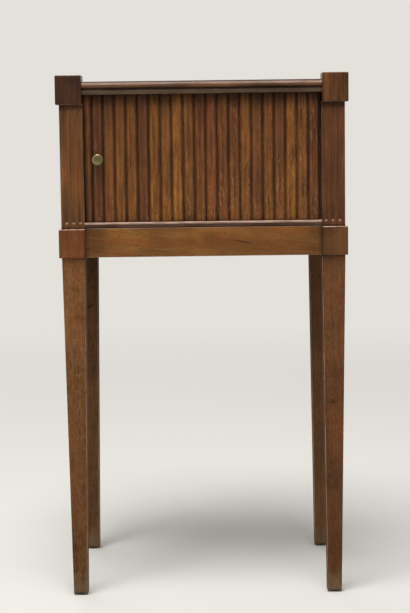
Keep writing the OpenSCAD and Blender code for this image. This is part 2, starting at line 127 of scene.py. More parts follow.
class BedsideSizes(bpy.types.PropertyGroup):
    """Sizes of the detail that the solids don't carry, or that is drawn again here."""

    post_width: length_setting(
        "Post width", 32.5, "Width of the square post and of the leg at its top")
    foot_width: length_setting("Foot width", 20, "Width of the square leg at the floor")
    cap_height: length_setting("Cap height", 40, "Height of the square cap at the head of a post")
    block_height: length_setting(
        "Block height", 40, "Height of the square block that takes the aprons")
    block_drop: length_setting("Block drop", 0.6, "How far the block reaches below the aprons")
    block_proud: length_setting("Block proud", 3.5, "How far the block stands out from the post")
    cap_in: length_setting(
        "Cap set-back", 1.1, "How far the cap lies behind the post's inner faces")
    flute_width: length_setting("Flute width", 6.5, "Width of one flute")
    flute_depth: length_setting("Flute depth", 1.4, "Depth of one flute")
    flute_pitch: length_setting(
        "Flute spacing", 9.4, "Distance between the middles of two flutes")
    flute_in: length_setting(
        "Flute shift", 1, "How far the flutes lie inward of the post's middle")
    flute_foot: length_setting("Flute foot", 7, "Plain wood between the flutes and the block")
    flute_head: length_setting("Flute head", 4, "Plain wood between the flutes and the cap")
    flute_count: IntProperty(
        name="Flutes", description="Flutes on each fluted face", default=3, min=1, max=3)
    arris: length_setting("Arris", 0.8, "Rounding on the corners of the wood")
    cap_arris: length_setting("Cap arris", 1.1, "Rounding on the corners of caps and blocks")
    slat_edge: length_setting("Slat edge", 3, "Radius of the rounded edges of a slat")
    slat_crown: length_setting("Slat crown", 22, "Radius of the crowned face of a slat")
    tongue_thickness: length_setting(
        "Tongue thickness", 5, "Thickness of the tongues on a slat's ends")


class BedsideFinishes(bpy.types.PropertyGroup):
    """Colours of the woods and metals."""

    # this colour also paints highlights on arrises, beads and edges
    rubbed_and_highlight: colour_setting(
        "Rubbed edge", "#c6a592", "Wood where the polish has worn off the arrises")
    # this colour also paints shade in corners, recesses and under overhangs
    grime_and_shade: colour_setting("Grime", "#1f0f06", "Old wax and dirt in the corners")
    faded: colour_setting(
        "Faded foot", "#72604a", "Grey-brown wood at the feet, bleached by floor washing")
    brass: colour_setting("Brass", "#7f7256", "Aged brass of the knob")
    backdrop: colour_setting("Backdrop", "#e4e1db", "Pale floor and background")


# ---- small helpers ----

def sizes():
    return bpy.context.scene.bedside_sizes


def finishes():
    return bpy.context.scene.bedside_finishes


def add(tree, kind, inputs=(), **settings):
    """Adds a shader node with its settings, plain values and links, and returns it.

    The inputs are in the node's own order, or by name. A node that is given as one stands
    for its first output in use. stops are a colour ramp's places and colours."""
    made = tree.nodes.new("ShaderNode" + kind)
    stops = settings.pop("stops", None)
    for name, value in settings.items():
        setattr(made, name, value)
    if stops:
        ramp = made.color_ramp.elements
        while len(ramp) < len(stops):
            ramp.new(1)
        for element, (place, value) in zip(ramp, stops):
            element.position = place
            element.color = (*value, 1)
    for name, value in inputs.items() if isinstance(inputs, dict) else enumerate(inputs):
        socket = made.inputs[name]
        if isinstance(value, bpy.types.Node):
            value = next(output for output in value.outputs if output.enabled)
        if isinstance(value, bpy.types.NodeSocket):
            tree.links.new(value, socket)
        else:
            socket.default_value = value
    return made


def shade(colour, factor):
    """A colour made lighter or darker by a factor."""
    return tuple(min(1, c * factor) for c in colour)


def cuboid(bm, low, high):
    """A box between two corners. Returns its vertices."""
    low, high = Vector(low), Vector(high)
    size = high - low
    place = Matrix.Translation((low + high) / 2) @ Matrix.Diagonal((*size, 1))
    return bmesh.ops.create_cube(bm, size=1, matrix=place)["verts"]


def prism(bm, outline, low, high):
    """A straight piece whose section is a closed outline in X and Y. Returns its faces."""
    ring = [bm.verts.new((x, y, low)) for x, y in outline]
    base = bm.faces.new(ring)
    grown = bmesh.ops.extrude_face_region(bm, geom=[base])["geom"]
    top = [v for v in grown if isinstance(v, bmesh.types.BMVert)]
    bmesh.ops.translate(bm, verts=top, vec=(0, 0, high - low))
    faces = {f for v in ring + top for f in v.link_faces}
    bmesh.ops.recalc_face_normals(bm, faces=list(faces))
    return list(faces)


def layer(parts, name, kind="float"):
    """A layer on a bmesh's vertices or faces, made if it isn't there yet."""
    layers = getattr(parts.layers, kind)
    return layers.get(name) or layers.new(name)


def ease(bm, edges, width, wear_and_highlight=0.5):
    """Rounds some edges and marks the new faces as worn, which paints them paler:
    wear that is partly a painted highlight on the arris.
    """
    if not edges:
        return
    worn = layer(bm.faces, "worn")
    made = bmesh.ops.bevel(
        bm, geom=list(edges), offset=width, offset_type="OFFSET", affect="EDGES",
        segments=3, profile=0.5, material=-1, clamp_overlap=True)
    for face in made["faces"]:
        face[worn] = wear_and_highlight


def edges_of(verts):
    return {e for v in verts for e in v.link_edges}


def along_z(edge):
    """Whether an edge is upright, or leans no more than a leg's do."""
    a, b = (v.co for v in edge.verts)
    return abs((a - b).normalized().z) > 0.98


def turned(bm, profile, steps, place):
    """A turned piece: the profile of (radius, height) points spun about Z, then placed."""
    points = [bm.verts.new((r, 0, h)) for r, h in profile]
    lines = [bm.edges.new(pair) for pair in zip(points, points[1:])]
    bmesh.ops.spin(
        bm, geom=points + lines, cent=(0, 0, 0), axis=(0, 0, 1), dvec=(0, 0, 0),
        angle=math.tau, steps=steps, use_merge=True, use_normal_flip=False)
    bmesh.ops.remove_doubles(bm, verts=bm.verts[:], dist=SAME_PLACE)
    bmesh.ops.recalc_face_normals(bm, faces=bm.faces[:])
    bmesh.ops.transform(bm, matrix=place, verts=bm.verts[:])


def arc(centre, radius, start, end, count):
    """Points of an arc in a profile, from one angle to another in degrees."""
    angles = [math.radians(start + (end - start) * i / count) for i in range(count + 1)]
    return [(centre[0] + radius * math.cos(a), centre[1] + radius * math.sin(a))
            for a in angles]


def tint(bm, wood, calm=0.0, above=-1.0):
    """Gives a wood's tones to every vertex that is still white, as new ones are, and says
    how little of its grain shows. above keeps it to the vertices over a height."""
    tone, streak = (layer(bm.verts, n, "float_color") for n in ("tone", "streak"))
    quiet = layer(bm.verts, "calm")
    main, second = (Vector((*hex_colour(c), 1)) for c in WOODS[wood])
    for v in bm.verts:
        if min(v[tone]) > 0.999 and v.co.z > above:
            v[tone], v[streak], v[quiet] = main, second, calm


def placed(name, bm, material):
    """Makes an object of a bmesh, at the origin."""
    mesh = bpy.data.meshes.new(name)
    bm.to_mesh(mesh)
    bm.free()
    mesh.materials.append(material)
    made = bpy.data.objects.new(name, mesh)
    bpy.context.scene.collection.objects.link(made)
    return made


def piece(node, kind, bm, material, seed=0.0, wood=""):
    """Makes the object that stands for a node, on the node's body and with its finish slot.

    seed is its own place in the noise of its wood."""
    layer(bm.faces, "worn")
    layer(bm.verts, "grime_and_shade")
    own = layer(bm.verts, "seed")
    for v in bm.verts:
        v[own] = seed
    if wood:
        tint(bm, wood)
    made = placed(f"{node}_{kind}", bm, material)
    made.data.polygons.foreach_set("use_smooth", [True] * len(made.data.polygons))
    made.data.set_sharp_from_angle(angle=math.radians(35))
    # flat faces are shaded flat, and only their rounded edges turn the light
    made.modifiers.new("even_shading", "WEIGHTED_NORMAL").keep_sharp = True
    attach(made, BODY_OF[node])
    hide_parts(node)
    return made


def dress(node, material):
    """Gives a solid that stays as it is its finish."""
    mesh = frame["nodes"][node].data
    mesh.materials.clear()
    mesh.materials.append(material)


def eased_copy(node, width):
    """A copy of a solid with its loose triangles merged and its sharp edges rounded."""
    bm = bmesh.new()
    bm.from_mesh(frame["nodes"][node].data)
    bmesh.ops.remove_doubles(bm, verts=bm.verts[:], dist=SAME_PLACE)
    bmesh.ops.dissolve_limit(
        bm, angle_limit=math.radians(0.5), verts=bm.verts[:], edges=bm.edges[:])
    bmesh.ops.recalc_face_normals(bm, faces=bm.faces[:])
    sharp = [e for e in bm.edges if len(e.link_faces) == 2 and e.is_convex
             and e.calc_face_angle(0) > SHARP]
    ease(bm, sharp, width)
    return bm


# ---- finishes ----

# what the mesh of a piece carries for its finish, painted shade and painted highlights among it
PAINTED = ("seed", "tone", "streak", "calm", "grime_and_shade", "worn", "shoulder_highlight", "dry")

# noise in the wood: width across the grain, length along it, detail, roughness, distortion.
# Pores are really 0.2 mm wide and are drawn five times as coarse, so that they show.
BOARD_NOISE = (
    ("pores", 1 * MM, 6 * MM, 3, 0.55, 0),
    ("haze", 40 * MM, 60 * MM, 2, 0.55, 0),
    ("rubbing", 3 * MM, 25 * MM, 2, 0.55, 0))
WAX_NOISE = (
    ("waxed", 14 * MM, 50 * MM, 1, 0.55, 0),
    ("flecks", 0.9 * MM, 7 * MM, 2, 0.55, 0))
LEG_NOISE = (
    ("flakes", 3.5 * MM, 8 * MM, 5, 0.76, 0),
    ("nicks", 1.6 * MM, 4.5 * MM, 2, 0.55, 0),
    ("bleach_edge", 7 * MM, 18 * MM, 5, 0.7, 0),
    ("bleach_patches", 4 * MM, 9 * MM, 4, 0.7, 0))

# how growth rings darken and lighten the wood
RING_STOPS = (
    (0.28, (0.46, 0.39, 0.34)), (0.42, (0.80, 0.75, 0.71)), (0.5, (1.0, 1.0, 1.0)),
    (0.6, (1.18, 1.16, 1.08)), (0.74, (1.50, 1.46, 1.28)))

# settings that many nodes have
SMOOTH = {"interpolation_type": "SMOOTHSTEP"}
BLEND = {"data_type": "RGBA"}
FILTER = {"data_type": "RGBA", "blend_type": "MULTIPLY"}


def blank(name):
    """A material without nodes, the function that adds them to it, and where a point lies."""
    material = bpy.data.materials.new(name)
    material.use_nodes = True
    material.node_tree.nodes.clear()
    node = functools.partial(add, material.node_tree)
    return material, node, node("TexCoord").outputs["Object"]


def mahogany(name, along, streak=2.2 * MM, reach=110 * MM, cloud=16 * MM, figure=0.35,
             contrast=1.0, tilt=0.0, polish=0.22, shine=1.22, shade_and_dirt_lines=(), marks=(),
             flecks=0.0, yellowed=False, leg_wear_and_shade=None):
    """Old mahogany under a worn French polish.

    The polish gives a soft sheen, the open pores short dark flecks along the grain, and the
    growth rings streaks a couple of millimetres wide. along is the axis the grain runs on,
    and tilt how many degrees it wanders off it. The tones of each board are in its tone and
    streak attributes. The calm attribute says where the grain shows less, or more if it is
    negative.

    For the legs, which have lost their polish and whose feet are bleached, one pair turns that
    on and gives their painted light and shade: how bright they are at the floor and under the
    aprons. yellowed shellac takes the blue out of the wood. Lines of dirt and painted shade,
    along joints and under overhangs: axis, place on it, reach, strength. marks are knots,
    stains and painted shadows on the front: x, z, half width, half height, turn, strength.
    """
    use = finishes()
    material, node, where = blank(name)
    split = node("SeparateXYZ", (where,)).outputs
    painted = {what: node("Attribute", attribute_name=what).outputs for what in PAINTED}
    dry = painted["dry"]["Fac"]

    noise = {}
    for what, across, length, detail, roughness, distortion in (
            ("rings", streak, reach, 4, 0.68, 0), ("ribbon", cloud, 9 * cloud, 3, 0.55, 0.6),
            *BOARD_NOISE, *(WAX_NOISE if flecks else ()), *(LEG_NOISE if leg_wear_and_shade else ())):
        scale = [across] * 3
        scale[along] = length
        grid = node("Mapping", {
            "Vector": where, "Rotation": (0, math.radians(tilt), 0), "Scale": scale},
            vector_type="TEXTURE")
        noise[what] = node("TexNoise", {
            "Vector": grid, "W": painted["seed"]["Fac"], "Scale": 1.0, "Detail": detail,
            "Roughness": roughness, "Distortion": distortion}, noise_dimensions="4D")

    # the two tones meet in long ribbons
    share = node("MapRange", (noise["ribbon"], 0.4, 0.62, 0, 1), **SMOOTH)
    body = node("Mix", {
        "Factor": share, "A": painted["tone"]["Color"], "B": painted["streak"]["Color"]},
        **BLEND)
    # growth rings and ribbon figure darken and lighten them
    grain = node("Math", (noise["rings"], 1 - figure), operation="MULTIPLY")
    grain = node("Math", (noise["ribbon"], figure, grain), operation="MULTIPLY_ADD")
    strength = node("Math", (painted["calm"]["Fac"], -0.7 * contrast, contrast),
                    operation="MULTIPLY_ADD")
    grain = node("Math", (grain, 0.5), operation="SUBTRACT")
    grain = node("Math", (grain, strength, 0.5), operation="MULTIPLY_ADD")
    grain = node("ValToRGB", (grain,), stops=RING_STOPS)
    body = node("Mix", {"Factor": 1.0, "A": body, "B": grain}, **FILTER)
    if yellowed:
        body = node("Mix", {"Factor": 1.0, "A": body, "B": (1.0, 0.95, 0.76, 1)}, **FILTER)
    # clouds of darker wax and dirt
    share = node("MapRange", (noise["haze"], 0.36, 0.64, 0.80, 1.14), **SMOOTH)
    body = node("VectorMath", {0: body, "Scale": share}, operation="SCALE")
    share = node("MapRange", (noise["pores"], 0.54, 0.68, 0, 0.5), **SMOOTH)
    body = node("Mix", {"Factor": share, "A": body, "B": (*use.grime_and_shade, 1)}, **BLEND)

    if flecks:
        # wax that has dried pale in some of the pores, mostly low on the door and to the right
        low = node("MapRange", (split["Z"], 0.53, 0.60, 0.14, 0), **SMOOTH)
        waxed = node("Math", (noise["waxed"], low), operation="ADD")
        left = node("MapRange", (split["X"], -0.1, 0.02, -0.1, 0.02), **SMOOTH)
        waxed = node("Math", (waxed, left), operation="ADD")
        waxed = node("MapRange", (waxed, 0.48, 0.64, 0, 1), **SMOOTH)
        share = node("MapRange", (noise["flecks"], 0.56, 0.68, 0, flecks), **SMOOTH)
        share = node("Math", (share, waxed), operation="MULTIPLY")
        body = node("Mix", {
            "Factor": share, "A": body, "B": (*hex_colour("#c0925a"), 1)}, **BLEND)
    for x, z, half_width, half_height, turn, strength in marks:
        spot = node("Mapping", {
            "Vector": where, "Location": (x, 0, z), "Rotation": (0, math.radians(turn), 0),
            "Scale": (half_width, 1, half_height)}, vector_type="TEXTURE")
        spot = node("VectorMath", (spot, (1, 0, 1)), operation="MULTIPLY")
        spot = node("VectorMath", (spot,), operation="LENGTH")
        edge = node("Math", (noise["rings"], 0.8, spot), operation="MULTIPLY_ADD")
        share = node("MapRange", (edge, 0.7, 1.5, strength, 0), **SMOOTH)
        body = node("Mix", {"Factor": share, "A": body, "B": (*use.grime_and_shade, 1)}, **BLEND)

    # polish worn through on the arrises, in patches, which also paints the highlights on arrises,
    # beads and edges
    wear_and_highlight_patches = node("MapRange", (noise["rubbing"], 0.38, 0.62, 0.4, 1.05), **SMOOTH)
    share = node("Math", (painted["worn"]["Fac"], painted["shoulder_highlight"]["Fac"]), operation="ADD")
    share = node("Math", (share, wear_and_highlight_patches), operation="MULTIPLY")
    body = node("Mix", {"Factor": share, "A": body, "B": (*use.rubbed_and_highlight, 1)}, **BLEND)

    if leg_wear_and_shade:
        # the bare wood is mottled where flakes of polish are left, with small dark nicks
        mottle = node("Math", (1.0, painted["calm"]["Fac"]), operation="SUBTRACT")
        mottle = node("Math", (dry, mottle), operation="MULTIPLY")
        for what, low, high, most, colour in (
                ("flakes", 0.43, 0.6, 0.7, hex_colour("#8b6446")),
                ("nicks", 0.58, 0.68, 0.5, use.grime_and_shade)):
            share = node("MapRange", (noise[what], low, high, 0, most), **SMOOTH)
            share = node("Math", (share, mottle), operation="MULTIPLY")
            body = node("Mix", {"Factor": share, "A": body, "B": (*colour, 1)}, **BLEND)
        # painted light and shade: each leg's brightness is scaled from the floor up to under the
        # aprons
        share = node("MapRange", (split["Z"], 0.03, 0.45, *leg_wear_and_shade), **SMOOTH)
        body = node("VectorMath", {0: body, "Scale": share}, operation="SCALE")
        # and the lowest few centimetres are bleached grey-brown, in patches with a ragged edge
        gap = node("Math", (noise["bleach_edge"], 70 * MM, -13 * MM), operation="MULTIPLY_ADD")
        gap = node("Math", (gap, split["Z"]), operation="SUBTRACT")
        share = node("MapRange", (gap, -16 * MM, 12 * MM, 0, 0.9), **SMOOTH)
        patchy = node("MapRange", (noise["bleach_patches"], 0.38, 0.6, 0.5, 1.0), **SMOOTH)
        share = node("Math", (share, patchy), operation="MULTIPLY")
        bleached = node("Mix", {"Factor": 1.0, "A": (*use.faded, 1), "B": grain}, **FILTER)
        body = node("Mix", {"Factor": share, "A": body, "B": bleached}, **BLEND)

    # dirt and painted shade in the corners, in recesses, along the joints and under overhangs,
    # whose edge wanders with the clouds
    lit_and_clean = node("Math", (1.0, painted["grime_and_shade"]["Fac"]), operation="SUBTRACT")
    wander = node("Math", (noise["haze"], 0.5), operation="SUBTRACT")
    for axis, place, far, strength in shade_and_dirt_lines:
        away = node("Math", (split[axis],), operation="ABSOLUTE")
        away = node("Math", (away, place), operation="SUBTRACT")
        away = node("Math", (away,), operation="ABSOLUTE")
        away = node("Math", (wander, far, away), operation="MULTIPLY_ADD")
        away = node("MapRange", (away, 0, far, 1 - strength, 1), **SMOOTH)
        lit_and_clean = node("Math", (lit_and_clean, away), operation="MULTIPLY")
    body = node("Mix", {"Factor": lit_and_clean, "A": (*use.grime_and_shade, 1), "B": body}, **BLEND)

    # dirt, painted shade and dry wood are dull, and no polish shines on them
    gloss = node("MapRange", (noise["haze"], 0.3, 0.7, 0.38, 0.55), **SMOOTH)
    shade_and_dirt = node("Math", (1.0, lit_and_clean), operation="SUBTRACT")
    gloss = node("Math", (shade_and_dirt, 0.25, gloss), operation="MULTIPLY_ADD")
    gloss = node("Math", (dry, 0.35, gloss), operation="MULTIPLY_ADD")
    coat = node("Math", (1.0, dry), operation="SUBTRACT")
    coat = node("Math", (coat, lit_and_clean), operation="MULTIPLY")
    relief = node("Math", (noise["pores"], -0.6, noise["rings"]), operation="MULTIPLY_ADD")
    bump = node("Bump", {"Height": relief, "Strength": 0.25, "Distance": 0.35 * MM})
    shader = node("BsdfPrincipled", {
        "Base Color": body, "Roughness": gloss, "Normal": bump, "Specular IOR Level": 0.08,
        "Coat Weight": coat, "Coat Roughness": polish, "Coat IOR": shine})
    node("OutputMaterial", {"Surface": shader})
    return material


def aged_brass(name):
    """Cast and turned brass, lacquer long gone: olive patina in the hollow and round the stem,
    a painted highlight on the upper left of the rim and painted shade towards its lower right."""
    brass = finishes().brass
    material, node, where = blank(name)
    spots = node("TexNoise", {
        "Vector": where, "Scale": 1 / (2.5 * MM), "Detail": 4.0, "Roughness": 0.6})
    hollow = node("Attribute", attribute_name="hollow").outputs["Fac"]
    tarnish_and_shade = node("Math", (spots, 0.5, hollow), operation="MULTIPLY_ADD")
    colour = node("ValToRGB", (tarnish_and_shade,), stops=(
        (0.15, shade(brass, 1.35)), (0.5, brass), (1.0, hex_colour("#5f5a38"))))
    gloss = node("MapRange", {"Value": tarnish_and_shade, "To Min": 0.26, "To Max": 0.58})
    shader = node("BsdfPrincipled", {
        "Base Color": colour, "Metallic": 1.0, "Roughness": gloss})
    node("OutputMaterial", {"Surface": shader})
    return material


def dull_steel(name, tint, rough):
    """Plain steel that has lost its shine, with darker spots of old rust."""
    material, node, where = blank(name)
    spots = node("TexNoise", {
        "Vector": where, "Scale": 1 / (3 * MM), "Detail": 4.0, "Roughness": 0.65})
    colour = node("ValToRGB", (spots,), stops=(
        (0.35, shade(hex_colour(tint), 0.55)), (0.6, hex_colour(tint))))
    gloss = node("MapRange", {"Value": spots, "To Min": rough + 0.15, "To Max": rough - 0.1})
    shader = node("BsdfPrincipled", {
        "Base Color": colour, "Metallic": 1.0, "Roughness": gloss})
    node("OutputMaterial", {"Surface": shader})
    return material


def raw_poplar(name, along):
    """Unfinished poplar inside and under the case: pale, dry, with faint straight grain."""
    material, node, where = blank(name)
    scale = [1 / (2.5 * MM)] * 3
    scale[along] = 1 / (140 * MM)
    grain = node("Mapping", {"Vector": where, "Scale": scale})
    grain = node("TexNoise", {"Vector": grain, "Scale": 1.0, "Detail": 3.0})
    colour = node("ValToRGB", (grain,), stops=(
        (0.3, hex_colour("#6f5338")), (0.55, hex_colour("#8f7150")),
        (0.75, hex_colour("#a58661"))))
    bump = node("Bump", {"Height": grain, "Strength": 0.2, "Distance": 0.3 * MM})
    shader = node("BsdfPrincipled", {"Base Color": colour, "Roughness": 0.72, "Normal": bump})
    node("OutputMaterial", {"Surface": shader})
    return material


def cotton_canvas(name):
    """Plain-woven unbleached cotton stiffened with glue. Its threads are 0.7 mm apart and
    are drawn twice as coarse, so that the weave shows."""
    thread = 1.4 * MM
    material, node, where = blank(name)
    # a wave repeats every tau / 20 at a scale of 1
    warp, weft = (
        node("TexWave", {
            "Vector": where, "Scale": math.tau / 20 / thread, "Distortion": 0.4},
            wave_type="BANDS", bands_direction=direction).outputs["Fac"]
        for direction in "XZ")
    weave = node("Math", (warp, weft), operation="MULTIPLY")
    colour = node("ValToRGB", (weave,), stops=(
        (0.1, hex_colour("#8d7c5d")), (0.7, hex_colour("#b8a680"))))
    bump = node("Bump", {"Height": weave, "Strength": 0.5, "Distance": 0.3 * MM})
    shader = node("BsdfPrincipled", {
        "Base Color": colour, "Roughness": 0.9, "Normal": bump, "Sheen Weight": 0.15})
    node("OutputMaterial", {"Surface": shader})
    return material


# ---- posts and legs ----

# how fine the grid of the flutes is
CELLS_ACROSS = 12  # one flute
CELLS_ALONG = 8  # the straight part of the flutes, between their rounded ends

HOLLOW = 23 * MM  # how far into the right-hand posts the curtain's turn is cut
CANVAS_THICKNESS = 0.8 * MM


def flute_row(index, low, high, width, rows):
    """Height of one line across the flutes: close together where the flutes end."""
    if index == 0:
        return low - width / CELLS_ACROSS
    if index == rows:
        return high + width / CELLS_ACROSS
    step, last = index - 1, rows - 2
    end = (rows - CELLS_ALONG) // 2 - 1
    if step <= end:
        return low + width / 2 * step / end
    if step >= last - end:
        return high - width / 2 * (last - step) / end
    return low + width / 2 + (high - low - width) * (step - end) / (last - 2 * end)


def flute_panel(bm, face, middle, low, high):
    """Cuts the flutes into one flat face of a post, as a fine grid pressed into the wood.

    middle is where the middle of the flutes lies across the face."""
    use = sizes()
    out = face.normal.copy()
    side = 0 if abs(out.y) > 0.5 else 1
    width, pitch, count = use.flute_width, use.flute_pitch, use.flute_count
    cells = count * (CELLS_ACROSS + 1) + 1
    reach = ((count - 1) * pitch + width) / 2 + width / CELLS_ACROSS
    radius = ((width / 2) ** 2 + use.flute_depth ** 2) / (2 * use.flute_depth)
    bmesh.ops.inset_individual(bm, faces=[face], thickness=1 * MM, depth=0)
    corners = list(face.verts)
    left, right = middle - reach, middle + reach
    bottom = flute_row(0, low, high, width, cells)
    top = flute_row(cells, low, high, width, cells)
    centre = face.calc_center_median()
    for v in corners:
        v.co[side] = left if v.co[side] < centre[side] else right
        v.co.z = bottom if v.co.z < centre.z else top
    made = bmesh.ops.subdivide_edges(
        bm, edges=list(face.edges), cuts=cells - 1, use_grid_fill=True)
    grid = [v for v in made["geom"] if isinstance(v, bmesh.types.BMVert)]
    grime_and_shade, worn = layer(bm.verts, "grime_and_shade"), layer(bm.faces, "worn")
    for v in grid:
        column = round((v.co[side] - left) / (right - left) * cells)
        row = round((v.co.z - bottom) / (top - bottom) * cells)
        if 0 < column < cells:
            flute, part = divmod(column - 1, CELLS_ACROSS + 1)
            across = (part / CELLS_ACROSS - 0.5) * width
            v.co[side] = middle + (flute - (count - 1) / 2) * pitch + across
        else:
            across = width
        v.co.z = flute_row(row, low, high, width, cells)
        past_end = max(0, low + width / 2 - v.co.z, v.co.z - high + width / 2)
        left_over = radius ** 2 - across ** 2 - past_end ** 2
        depth = math.sqrt(max(0, left_over)) - radius + use.flute_depth
        v.co -= out * max(0, depth)
        # painted shade in the flutes, deepest near their feet
        near_foot = max(0, 1 - (v.co.z - low) / (30 * MM))
        v[grime_and_shade] = max(0, depth) / use.flute_depth * (0.12 + 0.34 * near_foot)
    # painted highlight on the hollow's lowest end, which looks up into the light
    for face in {f for v in grid for f in v.link_faces}:
        at = face.calc_center_median()
        off = abs((at[side] - middle + count * pitch / 2) % pitch - pitch / 2)
        face.normal_update()
        if at.z < low + 0.45 * width and face.normal.z > 0.1 and off < 0.24 * width:
            face[worn] = 0.5


def post_section(corner):
    """Outline of the post between block and cap, from its inner corner outwards.

    The left-hand front post has a groove for the first slat. The right-hand posts are cut
    away on the inside, where the slats turn."""
    w = sizes().post_width
    slat_low, slat_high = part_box(SLATS[0])
    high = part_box("leg_" + corner)[1]
    play = 0.3 * MM
    far = high.y - slat_low.y + play
    if corner == "rear_left":
        return [(0, 0), (w, 0), (w, w), (0, w)]
    if corner == "front_left":
        deep = high.x - slat_low.x + play
        near = high.y - slat_high.y - play - CANVAS_THICKNESS
        return [(0, 0), (w, 0), (w, w), (0, w), (0, far), (deep, far), (deep, near), (0, near)]
    away = far if corner == "front_right" else 17.5 * MM
    return [(HOLLOW, 0), (w, 0), (w, w), (0, w), (0, away), (HOLLOW, away)]


def leg(corner, material, woods, seed):
    """One corner post: tapered leg, block, fluted shaft and cap, whose woods are given in
    that order, each with its calm.

    It is made with its inner corner at the origin and both outer faces towards +X and +Y,
    then turned to its own corner of the table."""
    use = sizes()
    name = "leg_" + corner
    low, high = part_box(name)
    wide, cap_out = use.post_width, high.x - low.x
    on_face = 0.1 * MM  # nearer to a face than this is on it
    block_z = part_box("apron_front")[0].z - use.block_drop
    block_top = block_z + use.block_height
    cap_z = high.z - use.cap_height
    bm = bmesh.new()
    grime_and_shade, dry = (layer(bm.verts, n) for n in ("grime_and_shade", "dry"))
    # tapered leg
    verts = cuboid(bm, (0, 0, low.z), (wide, wide, block_z + use.cap_arris))
    foot = [v for v in verts if v.co.z < block_z / 2]
    narrow = use.foot_width / wide
    bmesh.ops.scale(bm, verts=foot, vec=(narrow, narrow, 1),
                    space=Matrix.Translation((-wide / 2, -wide / 2, 0)))
    # the arrises that face another leg are painted pale, wear with a painted highlight, the outer
    # ones only a little
    inner = {e for e in edges_of(verts) if along_z(e)
             and min(max(v.co.x for v in e.verts), max(v.co.y for v in e.verts)) < wide / 2}
    ease(bm, inner, use.arris, wear_and_highlight=0.75)
    ease(bm, {e for e in edges_of(v for v in verts if v.is_valid) if e.is_valid
              and e.calc_face_angle(0) > SHARP}, use.arris, wear_and_highlight=0.2)
    for v in bm.verts:
        v[dry] = 1.0
    tint(bm, *woods[0])
    # block and cap
    for near, far, base, top, wood in (
            (0, wide + use.block_proud, block_z, block_top, woods[1]),
            (use.cap_in, cap_out, cap_z, high.z, woods[3])):
        verts = cuboid(bm, (near, near, base), (far, far, top))
        upper = [e for e in edges_of(verts) if not along_z(e)
                 and min(v.co.z for v in e.verts) > (base + top) / 2]
        lower = edges_of(verts) - set(upper)
        # the block's upper arris is painted pale as a strong highlight, the cap's only a little
        ease(bm, upper, use.cap_arris, wear_and_highlight=1.2 if base == block_z else 0.3)
        ease(bm, {e for e in lower if e.is_valid}, use.arris, wear_and_highlight=0.3)
        tint(bm, *wood)
    # shaft
    faces = prism(bm, post_section(corner), block_top - use.cap_arris, cap_z + use.cap_arris)
    # the groove and the hollow for the slats are painted near black, as deep shade
    for v in {v for f in faces for v in f.verts}:
        if 0.5 * MM < v.co.x < HOLLOW + MM and v.co.y < 26 * MM:
            v[grime_and_shade] = 0.9
    outer = {e for f in faces for e in f.edges if along_z(e)
             and max(e.verts[0].co.x, e.verts[0].co.y) > wide - on_face}
    ease(bm, outer, use.arris, wear_and_highlight=0.35)
    bm.normal_update()
    fluted = [Vector((1, 0, 0))]
    if corner.startswith("front"):
        fluted.append(Vector((0, 1, 0)))
    for normal in fluted:
        flat = [f for f in bm.faces if f.normal.dot(normal) > 0.999
                and abs(f.calc_center_median().dot(normal) - wide) < on_face
                and f.calc_center_median().z > block_top]
        flute_panel(bm, max(flat, key=lambda f: f.calc_area()), wide / 2 - use.flute_in,
                    block_top + use.flute_foot, cap_z - use.flute_head)
    tint(bm, *woods[2])
    # to its corner
    sx, sy = CORNERS[corner]
    inner = Vector((high.x if sx < 0 else low.x, high.y if sy < 0 else low.y, 0))
    place = Matrix.Translation(inner) @ Matrix.Diagonal((sx, sy, 1, 1))
    bmesh.ops.transform(bm, matrix=place, verts=bm.verts[:])
    if sx * sy < 0:
        bmesh.ops.reverse_faces(bm, faces=bm.faces[:])
    piece(name, "wood", bm, material, seed)


